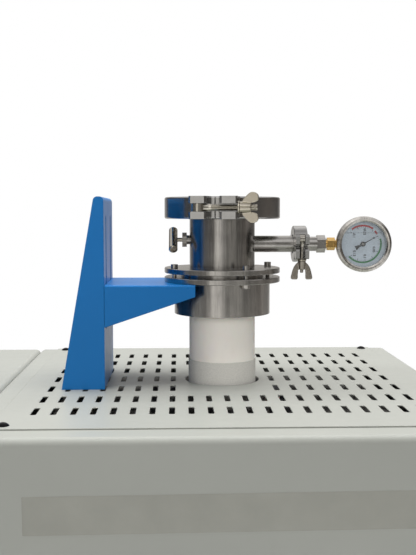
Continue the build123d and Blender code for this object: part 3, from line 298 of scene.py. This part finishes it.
GREY = (0.331, 0.338, 0.309)
BLUE = (0.0115, 0.154, 0.435)
STEEL = (0.43, 0.415, 0.395)
head_centre = (tube_x, tube_y, 0.0)
gauge_axis = (gauge_centre.x, 0.0, gauge_centre.z)
port_axis = (0.0, tube_y, middle("gauge_adapter").z)
look = {
    "grey_paint": powder_coat("grey_powder_coat", GREY),
    "blue_paint": powder_coat("blue_powder_coat", BLUE, 0.3, 0.04, 0.22),
    "zinc_steel": turned_metal("zinc_sheet", (0.5, 0.51, 0.52), (0, 0, 0), 0.4),
    "stainless": turned_metal("turned_stainless", STEEL, head_centre),
    "cast_steel": plated_metal("satin_steel", (0.44, 0.435, 0.425), 0.2, 0.025, 120.0),
    "bright_nickel": plated_metal("bright_nickel", (0.55, 0.51, 0.43), 0.15, 0.16, 300.0),
    "brass": turned_metal("turned_brass", (0.72, 0.47, 0.17), port_axis, 0.2, "X"),
    "alumina": alumina("alumina", (0.97, 0.91, 0.85)),
    "fibre_white": fibre("ceramic_fibre", (0.74, 0.72, 0.67)),
    "element_grey": moulded("silicide", (0.09, 0.09, 0.10), 0.45, 0.3),
    "seal_rubber": moulded("seal_rubber", (0.012, 0.012, 0.012), 0.45, 0.1),
    "foot_rubber": moulded("foot_rubber", (0.014, 0.014, 0.014), 0.75, 0.4),
    "black_oxide": plated_metal("black_oxide", (0.02, 0.02, 0.021), 0.35, 0.1),
    "window": clear_glass("gauge_window"),
    "dial_white": flat_print("dial_plate", (0.46, 0.53, 0.60)),
    "pointer_black": flat_print("pointer_black", (0.008, 0.009, 0.012)),
    "black_plastic": moulded("black_plastic", (0.022, 0.022, 0.024), 0.48),
    "key_plastic": moulded("key_plastic", (0.34, 0.35, 0.37), 0.55),
    "red_plastic": moulded("red_plastic", (0.42, 0.012, 0.008), 0.3, 0.1),
    "core_steel": moulded("varnished_core", (0.03, 0.028, 0.026), 0.4),
    "fin_aluminium": turned_metal("extruded_fins", (0.62, 0.62, 0.63), (0, 0, 0), 0.35),
}
port_steel = turned_metal("turned_port", STEEL, port_axis, 0.2, "X")
gauge_steel = turned_metal("spun_bezel", (0.52, 0.50, 0.47), gauge_axis, 0.22, "Y")
cap_plating = plated_metal("cap_bolt_plating", (0.60, 0.57, 0.50), 0.2)
port_plating = plated_metal("port_bolt_plating", (0.50, 0.47, 0.42), 0.2)
cap_wing = plated_metal("cast_nickel", (0.50, 0.46, 0.38), 0.14, 0.35, 160.0)
port_wing = plated_metal("worn_nickel", (0.32, 0.29, 0.25), 0.2, 0.16, 300.0)
# Insulation lid and cover ledge: the white ceramic fibre painted dark grey, a painted shade that makes the
# cover's slots read black.
shade_darkened_fibre = fibre("lid_fibre_painted_shade", (0.16, 0.155, 0.145))
ink_black = flat_print("ink_black", (0.02, 0.022, 0.03))
ink_red = flat_print("ink_red", (0.36, 0.018, 0.022))
ink_green = flat_print("ink_green", (0.022, 0.16, 0.05))


def dress_nodes():
    """Give every CAD node its finish."""
    for row in frame["record"]["subparts"]:
        node = nodes[row["node"]]
        node.data.materials.clear()
        node.data.materials.append(look[row["material_slot"]])
    # The insulation lid and cover ledge take the dark fibre with painted shade.
    special = {"gauge_adapter": port_steel, "gauge_bezel": gauge_steel, "gauge_case": gauge_steel,
               "valve_nut": port_steel, "insulation_lid": shade_darkened_fibre, "cover_ledge": shade_darkened_fibre,
               "cap_clamp_bolt": cap_plating, "port_clamp_bolt": port_plating,
               "cap_clamp_wing_nut": cap_wing, "port_clamp_wing_nut": port_wing}
    for name, finish in special.items():
        nodes[name].data.materials[0] = finish


dress_nodes()


# ---------------------------------------------------------------- mesh kit

def finish_piece(made, body, finish, replaces=()):
    """Material and body of a new piece; the CAD nodes it replaces are hidden."""
    made.data.materials.clear()
    made.data.materials.append(finish)
    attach(made, body)
    if replaces:
        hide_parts(*replaces)
    return made


def from_bmesh(name, mesh, smooth=True):
    """An object from a bmesh."""
    data = bpy.data.meshes.new(name)
    mesh.to_mesh(data)
    mesh.free()
    for face in data.polygons:
        face.use_smooth = smooth
    made = bpy.data.objects.new(name, data)
    bpy.context.collection.objects.link(made)
    return made


def curve_to_piece(name, curve, place=Matrix.Identity(4)):
    """Turn a curve into a mesh object, its place in its vertices."""
    holder = bpy.data.objects.new(name + "_curve", curve)
    bpy.context.collection.objects.link(holder)
    bpy.context.view_layer.update()
    graph = bpy.context.evaluated_depsgraph_get()
    data = bpy.data.meshes.new_from_object(holder.evaluated_get(graph))
    data.name = name
    data.transform(place)
    bpy.data.objects.remove(holder)
    made = bpy.data.objects.new(name, data)
    bpy.context.collection.objects.link(made)
    return made


def closed_spline(curve, points):
    """Add a closed run of straight segments to a curve."""
    spline = curve.splines.new("POLY")
    spline.points.add(len(points) - 1)
    for target, (x, y) in zip(spline.points, points):
        target.co = (x, y, 0, 1)
    spline.use_cyclic_u = True


def arc_points(centre, radius, start, end, steps):
    """Points along an arc, angles in degrees."""
    points = []
    for step in range(steps + 1):
        angle = math.radians(start + (end - start) * step / steps)
        points.append((centre[0] + radius * math.cos(angle), centre[1] + radius * math.sin(angle)))
    return points


def rounded_outline(half_x, half_y, radius, steps=4, centre=(0, 0)):
    """Outline of a rounded rectangle."""
    points = []
    corners = ((1, 1, 0), (-1, 1, 90), (-1, -1, 180), (1, -1, 270))
    for i, j, start in corners:
        corner = (centre[0] + i * (half_x - radius), centre[1] + j * (half_y - radius))
        points += arc_points(corner, radius, start, start + 90, steps)
    return points


def flat_curve(name, thickness, edge):
    """A filled 2D curve with rounded edges, its total thickness given."""
    curve = bpy.data.curves.new(name, "CURVE")
    curve.dimensions = "2D"
    curve.fill_mode = "BOTH"
    curve.extrude = thickness / 2 - edge
    curve.bevel_depth = edge
    curve.bevel_resolution = 2
    curve.offset = -edge
    return curve


# ---------------------------------------------------------------- swing bolts and wing nuts

thread_sides = 24
rings_per_turn = 10
thread_depth = 0.61  # of the pitch
thread_share = 0.7  # of the bolt's length
run_out_turns = 1.5
tip_share = 0.75  # of the rod's radius, left at the end of the tip's chamfer
thread_flat = 0.125  # of half a turn, on the crest and at the root
thread_sharp_angle = math.radians(35)
nut_voxel = 0.45 * MM
bore_reach = 0.55 * MM  # what lies this near the rod is the nut's bore
bore_gap = 0.2 * MM

cap_lean = math.radians(-9.5)
port_lean = math.radians(5.5)
cap_rod = Vector((math.cos(cap_lean), math.sin(cap_lean), 0)).normalized()
port_rod = Vector((0, math.sin(port_lean), -math.cos(port_lean))).normalized()
cap_pitch = 1.25 * MM
port_pitch = 0.7 * MM
cap_rod_radius = 3.8 * MM
port_rod_radius = 2.1 * MM


def welded_copy(name):
    """A node's mesh with its split edges joined, to work on."""
    mesh = bmesh.new()
    mesh.from_mesh(nodes[name].data)
    bmesh.ops.remove_doubles(mesh, verts=mesh.verts, dist=1e-6)
    return mesh


def thread_wave(phase):
    """Depth of a screw thread over one turn: 0 on the crest, 1 at the root, flats on both."""
    away = abs(phase % 1.0 - 0.5) * 2
    return min(1.0, max(0.0, (1 - thread_flat - away) / (1 - 2 * thread_flat)))


def threaded_bolt(name, washer, direction, pitch, body, finish):
    """A swing bolt with the outer part of its rod cut with a thread, around its CAD node's eye."""
    origin = middle(washer)
    mesh = welded_copy(name)
    along = [(vertex.co - origin).dot(direction) for vertex in mesh.verts]
    tip, eye = max(along), min(along)
    start = tip - thread_share * (tip - eye)
    radius = max(((vertex.co - origin) - direction * reach).length
                 for vertex, reach in zip(mesh.verts, along) if reach > start)
    cut = bmesh.ops.bisect_plane(mesh, geom=mesh.verts[:] + mesh.edges[:] + mesh.faces[:], dist=1e-7,
                                 plane_co=origin + direction * start, plane_no=direction, clear_outer=True)
    rim = [edge for edge in cut["geom_cut"] if isinstance(edge, bmesh.types.BMEdge)]
    bmesh.ops.holes_fill(mesh, edges=rim)
    side = direction.orthogonal().normalized()
    up = direction.cross(side)
    count = round((tip - start) / pitch * rings_per_turn)
    rings = []
    for step in range(count + 1):
        reach = start + (tip - start) * step / count
        run_out = min(1.0, (reach - start) / (run_out_turns * pitch))
        chamfered = radius * tip_share + (tip - reach)
        ring = []
        for corner in range(thread_sides):
            share = corner / thread_sides
            depth = thread_depth * pitch * run_out * thread_wave((reach - start) / pitch - share)
            turn = 2 * math.pi * share
            out = (side * math.cos(turn) + up * math.sin(turn)) * min(radius - depth, chamfered)
            ring.append(mesh.verts.new(origin + direction * reach + out))
        rings.append(ring)
    for first, second in zip(rings, rings[1:]):
        for corner in range(thread_sides):
            after = (corner + 1) % thread_sides
            mesh.faces.new((first[corner], first[after], second[after], second[corner]))
    mesh.faces.new(rings[0][::-1])
    mesh.faces.new(rings[-1])
    bmesh.ops.recalc_face_normals(mesh, faces=mesh.faces)
    made = from_bmesh(name + "_threaded", mesh)
    made.data.set_sharp_from_angle(angle=thread_sharp_angle)
    finish_piece(made, body, finish, (name,))


def cast_wings(name, washer, direction, rod_radius, passes, body, finish):
    """A cast wing nut around its CAD node: its edges rounded off, its bore kept open."""
    rough = from_bmesh(name + "_rough", welded_copy(name))
    remesh = rough.modifiers.new("even", "REMESH")
    remesh.mode = "VOXEL"
    remesh.voxel_size = nut_voxel
    soften = rough.modifiers.new("soften", "SMOOTH")
    soften.factor = 0.5
    soften.iterations = passes
    bpy.context.view_layer.update()
    graph = bpy.context.evaluated_depsgraph_get()
    data = bpy.data.meshes.new_from_object(rough.evaluated_get(graph))
    bpy.data.objects.remove(rough)
    origin = middle(washer)
    for vertex in data.vertices:
        away = vertex.co - origin
        reach = away.dot(direction)
        out = away - direction * reach
        if out.length < rod_radius + bore_reach:
            vertex.co = origin + direction * reach + out.normalized() * (rod_radius + bore_gap)
    data.shade_smooth()
    made = bpy.data.objects.new(name + "_cast", data)
    bpy.context.collection.objects.link(made)
    finish_piece(made, body, finish, (name,))


threaded_bolt("cap_clamp_bolt", "cap_clamp_washer", cap_rod, cap_pitch, "cap_bolt", cap_plating)
threaded_bolt("port_clamp_bolt", "port_clamp_washer", port_rod, port_pitch, "port_bolt", port_plating)
cast_wings("cap_clamp_wing_nut", "cap_clamp_washer", cap_rod, cap_rod_radius, 6, "cap_nut", cap_wing)
cast_wings("port_clamp_wing_nut", "port_clamp_washer", port_rod, port_rod_radius, 5, "port_nut", port_wing)


# ---------------------------------------------------------------- perforated cover

slot_columns = 21
slot_rows = 7
column_pitch = 20.0 * MM
row_pitch = 56.5 * MM
slot_half = (3.0 * MM, 16.0 * MM)
slot_round = 2.2 * MM
hole_radius = 45.0 * MM
plain_columns, plain_rows = 2, 1  # either side of the tube hole, without slots


def perforated_cover():
    """Cover sheet with rounded slots and the tube hole."""
    thickness = cover_high.z - cover_low.z
    curve = flat_curve("cover_sheet", thickness, 0.45 * MM)
    half_x = (cover_high.x - cover_low.x) / 2
    half_y = (cover_high.y - cover_low.y) / 2
    closed_spline(curve, rounded_outline(half_x, half_y, 3 * MM))
    closed_spline(curve, arc_points((0, 0), hole_radius, 0, 356.25, 95))
    for column in range(slot_columns):
        for row in range(slot_rows):
            i = column - slot_columns // 2
            j = row - slot_rows // 2
            if abs(i) <= plain_columns and abs(j) <= plain_rows:
                continue
            centre = (i * column_pitch, j * row_pitch)
            closed_spline(curve, rounded_outline(*slot_half, slot_round, 3, centre))
    place = Matrix.Translation((tube_x, tube_y, cover_top - thickness / 2))
    made = curve_to_piece("perforated_cover", curve, place)
    return finish_piece(made, "cabinet", look["grey_paint"], ("top_cover",))


perforated_cover()


# ---------------------------------------------------------------- bare film strip

strip_half = (195.0 * MM, 18.2 * MM)
strip_drop = 72.0 * MM
strip_lean = 0.4


def film_strip():
    """The bare clear strip on the front, put on slightly crooked."""
    curve = flat_curve("strip", 0.12 * MM, 0.02 * MM)
    closed_spline(curve, rounded_outline(*strip_half, 0.8 * MM, 3))
    upright = Matrix.Rotation(math.radians(90), 4, "X")
    lean = Matrix.Rotation(math.radians(-strip_lean), 4, "Y")
    place = Matrix.Translation((tube_x - 1 * MM, front_y - 0.1 * MM, cover_top - strip_drop)) @ lean @ upright
    made = curve_to_piece("film_strip", curve, place)
    finish_piece(made, "cabinet", film("label_film", (0.405, 0.405, 0.36), 0.6))


film_strip()


# ---------------------------------------------------------------- gauge dial

def dial_matrix(height):
    """Local Z towards the reader, from a height in front of the dial plate."""
    turn = Matrix.Rotation(math.radians(90), 4, "X")
    return Matrix.Translation((gauge_centre.x, dial_face_y - height, gauge_centre.z)) @ turn


def clock(angle):
    """Degrees clockwise from straight up, as a polar angle."""
    return 90.0 - angle


def arc_band(name, start, end, radius, width, ink):
    """A printed band from one clock angle to another."""
    curve = flat_curve(name, 0.08 * MM, 0.01 * MM)
    steps = max(6, int(abs(end - start) / 2))
    outer = arc_points((0, 0), radius + width / 2, clock(start), clock(end), steps)
    inner = arc_points((0, 0), radius - width / 2, clock(end), clock(start), steps)
    closed_spline(curve, outer + inner)
    made = curve_to_piece(name, curve, dial_matrix(0.05 * MM))
    finish_piece(made, "carriage", ink)


def ticks(name, angles, near, far, width, ink):
    """Radial scale lines."""
    curve = flat_curve(name, 0.08 * MM, 0.01 * MM)
    for angle in angles:
        turn = math.radians(clock(angle))
        along = Vector((math.cos(turn), math.sin(turn)))
        across = Vector((-along.y, along.x)) * width / 2
        corners = [along * near - across, along * far - across, along * far + across, along * near + across]
        closed_spline(curve, [tuple(corner) for corner in corners])
    made = curve_to_piece(name, curve, dial_matrix(0.06 * MM))
    finish_piece(made, "carriage", ink)


def number(name, words, angle, radius, size):
    """A number on the dial, which is turned a quarter clockwise."""
    text = bpy.data.curves.new(name, "FONT")
    text.body = words
    text.size = size
    text.extrude = 0.03 * MM
    text.offset = 0.16 * MM
    text.align_x = "CENTER"
    text.align_y = "CENTER"
    turn = math.radians(clock(angle))
    shift = Matrix.Translation((radius * math.cos(turn), radius * math.sin(turn), 0))
    quarter = Matrix.Rotation(math.radians(-90), 4, "Z")
    made = curve_to_piece(name, text, dial_matrix(0.05 * MM) @ shift @ quarter)
    finish_piece(made, "carriage", ink_black)


scale_start = -45.0
scale_end = 225.0


def dial_print():
    """Coloured bands, scale lines and plain numbers."""
    band = 22.3 * MM
    arc_band("band_red", -37, 34, band, 2.2 * MM, ink_red)
    arc_band("band_red_mark", 43, 55, 21.3 * MM, 2.4 * MM, ink_red)
    arc_band("band_green", 73, 228, band, 2.2 * MM, ink_green)
    steps = 20
    fine = [scale_start + (scale_end - scale_start) * step / (2 * steps) for step in range(2 * steps + 1)]
    ticks("scale_fine", fine, 19.8 * MM, 21.2 * MM, 0.3 * MM, ink_black)
    coarse = fine[::4]
    ticks("scale_coarse", coarse, 18.6 * MM, 21.2 * MM, 0.6 * MM, ink_black)
    marks = (("-0.1", -45), ("-0.05", 8), ("0", 61), ("0.05", 116), ("0.1", 170), ("0.15", 222))
    for step, (words, angle) in enumerate(marks):
        number(f"dial_number_{step}", words, angle, 15.2 * MM, 4.2 * MM)


dial_print()


liquid_circle = 27.0  # mm, just inside the gauge's window
liquid_level = 13.5  # mm from the middle of the dial
hub_radius = 1.9 * MM
hub_front_radius = 1.4 * MM
hub_depth = 0.8 * MM


def liquid_line():
    """Surface of the filling in the gauge, seen edge on."""
    curve = flat_curve("liquid_line", 0.1 * MM, 0.02 * MM)
    reach = math.sqrt(liquid_circle ** 2 - liquid_level ** 2) * MM
    closed_spline(curve, rounded_outline(reach, 0.22 * MM, 0.1 * MM, 2, (0, liquid_level * MM)))
    made = curve_to_piece("liquid_line", curve, dial_matrix(0.25 * MM))
    finish_piece(made, "carriage", film("liquid_edge", (0.22, 0.25, 0.28), 0.5))


def hub_cap():
    """Small silver cap on the pointer's hub."""
    mesh = bmesh.new()
    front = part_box("gauge_pointer")[0][1]
    place = Matrix.Translation((gauge_centre.x, front - hub_depth / 2, gauge_centre.z))
    bmesh.ops.create_cone(mesh, cap_ends=True, segments=40, radius1=hub_radius, radius2=hub_front_radius,
                          depth=hub_depth, matrix=place @ Matrix.Rotation(math.radians(90), 4, "X"))
    finish_piece(from_bmesh("pointer_hub_cap", mesh, False), "pointer", look["stainless"])


hub_cap()
liquid_line()


# ---------------------------------------------------------------- camera, light, floor

focal_pixels = 850.4
image_height_pixels = 555
camera_from_tube = Vector((-52.4, -1032.8, 200.8)) * MM
camera_pitch = 4.23
camera_yaw = 1.95


def make_camera():
    """The photograph's viewpoint."""
    data = bpy.data.cameras.new("camera")
    data.sensor_width = 36.0
    data.lens = focal_pixels / image_height_pixels * data.sensor_width
    data.clip_start = 0.01
    holder = bpy.data.objects.new("camera", data)
    holder.location = Vector((tube_x, tube_y, cover_top)) + camera_from_tube
    holder.rotation_euler = (math.radians(90 - camera_pitch), 0, math.radians(-camera_yaw))
    bpy.context.collection.objects.link(holder)
    bpy.context.scene.camera = holder


def area_light(name, place, target, size, power, colour=(1, 1, 1)):
    """A soft rectangular lamp aimed at a point."""
    data = bpy.data.lights.new(name, "AREA")
    data.shape = "RECTANGLE"
    data.size, data.size_y = size
    data.energy = power
    data.color = colour
    holder = bpy.data.objects.new(name, data)
    holder.location = place
    holder.rotation_euler = (Vector(target) - Vector(place)).to_track_quat("-Z", "Y").to_euler()
    bpy.context.collection.objects.link(holder)
    return holder


room_stops = [  # brightness round the room, as metal sees it
    (0.0, (0.5, 0.48, 0.45)), (0.07, (0.42, 0.41, 0.40)), (0.10, (0.10, 0.10, 0.11)),
    (0.30, (0.07, 0.075, 0.085)), (0.405, (0.11, 0.10, 0.095)), (0.43, (0.86, 0.84, 0.80)),
    (0.485, (0.80, 0.78, 0.75)), (0.505, (0.17, 0.165, 0.155)), (0.61, (0.21, 0.20, 0.185)),
    (0.65, (0.06, 0.055, 0.05)), (0.78, (0.15, 0.13, 0.115)), (0.90, (0.10, 0.095, 0.09)),
    (0.93, (0.42, 0.40, 0.38)), (1.0, (0.5, 0.48, 0.45))]
height_stops = [  # what is added from the floor up to the ceiling
    (0.0, (0.20, 0.20, 0.19)), (0.44, (0.22, 0.22, 0.21)), (0.5, (0, 0, 0)), (0.60, (0.0, 0.0, 0.0)),
    (0.72, (0.10, 0.10, 0.10)), (0.78, (0.78, 0.78, 0.79)), (0.90, (0.70, 0.70, 0.71)),
    (1.0, (0.32, 0.32, 0.33))]
room_light = 0.29


def make_world():
    """White to the camera and through glass; a dim room with windows for the metal."""
    world = bpy.data.worlds.new("studio")
    bpy.context.scene.world = world
    world.use_nodes = True
    tree = world.node_tree
    tree.nodes.clear()
    direction = add(tree, "ShaderNodeTexCoord").outputs["Generated"]
    parts = add(tree, "ShaderNodeSeparateXYZ", Vector=direction)
    facing = math_node(tree, "MULTIPLY", parts.outputs["Y"], -1.0)
    turn = math_node(tree, "ARCTAN2", parts.outputs["X"], facing)
    around = math_node(tree, "ADD", math_node(tree, "DIVIDE", turn, 2 * math.pi), 0.5)
    room = ramp(tree, around, room_stops)
    rise = math_node(tree, "ADD", math_node(tree, "MULTIPLY", parts.outputs["Z"], 0.5), 0.5)
    height = ramp(tree, rise, height_stops)
    gloss_colour = add(tree, "ShaderNodeMix")
    gloss_colour.data_type = "RGBA"
    gloss_colour.blend_type = "ADD"
    gloss_colour.inputs["Factor"].default_value = 1.0
    tree.links.new(room, gloss_colour.inputs["A"])
    tree.links.new(height, gloss_colour.inputs["B"])
    path = add(tree, "ShaderNodeLightPath")
    white = add(tree, "ShaderNodeBackground", Color=(1, 1, 1, 1), Strength=1.0)
    gloss = add(tree, "ShaderNodeBackground", Color=gloss_colour.outputs["Result"], Strength=1.0)
    soft = add(tree, "ShaderNodeBackground", Color=(0.97, 0.985, 1.0, 1), Strength=room_light)
    lit = add(tree, "ShaderNodeMixShader", Fac=path.outputs["Is Glossy Ray"], i1=soft.outputs[0],
              i2=gloss.outputs[0])
    seen = math_node(tree, "MAXIMUM", path.outputs["Is Camera Ray"], path.outputs["Is Transmission Ray"])
    final = add(tree, "ShaderNodeMixShader", Fac=seen, i1=lit.outputs[0], i2=white.outputs[0])
    add(tree, "ShaderNodeOutputWorld", Surface=final.outputs[0])


floor_half = 2.45
fade_start = 1.2
fade_end = 2.3


def make_floor():
    """A pale floor that fades into the white background far from the object."""
    mesh = bmesh.new()
    bmesh.ops.create_grid(mesh, x_segments=8, y_segments=8, size=floor_half)
    floor = from_bmesh("floor", mesh)
    made, tree, shader = new_material("pale_floor")
    shader.inputs["Base Color"].default_value = (0.8, 0.8, 0.79, 1)
    shader.inputs["Roughness"].default_value = 0.9
    place = coordinates(tree)
    distance = add(tree, "ShaderNodeVectorMath", i0=place)
    distance.operation = "LENGTH"
    fade = add(tree, "ShaderNodeMapRange", Value=distance.outputs["Value"])
    fade.inputs["From Min"].default_value = fade_start
    fade.inputs["From Max"].default_value = fade_end
    path = add(tree, "ShaderNodeLightPath")
    amount = math_node(tree, "MULTIPLY", fade.outputs[0], path.outputs["Is Camera Ray"])
    white = add(tree, "ShaderNodeEmission", Color=(1, 1, 1, 1), Strength=1.0)
    mixed = add(tree, "ShaderNodeMixShader", Fac=amount, i1=shader.outputs[0], i2=white.outputs[0])
    tree.links.new(mixed.outputs[0], tree.nodes["Material Output"].inputs["Surface"])
    floor.data.materials.append(made)


def light_scene():
    """One wide lamp overhead and one in front, neither seen in the metal."""
    head = Vector((tube_x, tube_y, cover_top + 0.12))
    overhead = area_light("top_soft", (0.1, 0.15, 2.6), head, (2.4, 2.0), 90.0)
    front = area_light("front_soft", (0.2, -2.6, 1.45), head, (1.0, 1.0), 20.5, (1.0, 0.99, 0.97))
    overhead.visible_glossy = False
    front.visible_glossy = False


make_camera()
make_world()
make_floor()
light_scene()
bpy.context.scene.view_settings.view_transform = "Standard"
